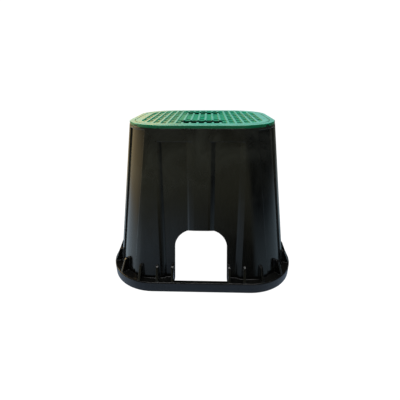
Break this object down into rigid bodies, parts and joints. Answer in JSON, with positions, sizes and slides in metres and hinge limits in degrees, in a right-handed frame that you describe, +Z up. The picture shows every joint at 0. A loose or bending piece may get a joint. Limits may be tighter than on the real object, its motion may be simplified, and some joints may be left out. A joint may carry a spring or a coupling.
{
  "type": "irrigation valve box",
  "caption": "Tapered, flanged ground box with fluted walls, arched pipe openings at both ends and a ribbed lift-off lid, for garden irrigation valves.",
  "frame": {"origin": "on the ground, under the middle of the box", "axes": "+Z up, +X along the longer side of the box, -Y out of the front with its arched opening"},
  "size_m": [0.377, 0.344, 0.305],
  "materials": {
    "box_plastic": "moulded black plastic, satin to glossy",
    "lid_plastic": "moulded green plastic, satin"
  },
  "bodies": {
    "root": {"box_body": "box_plastic", "lid": "lid_plastic"}
  },
  "joints": []
}
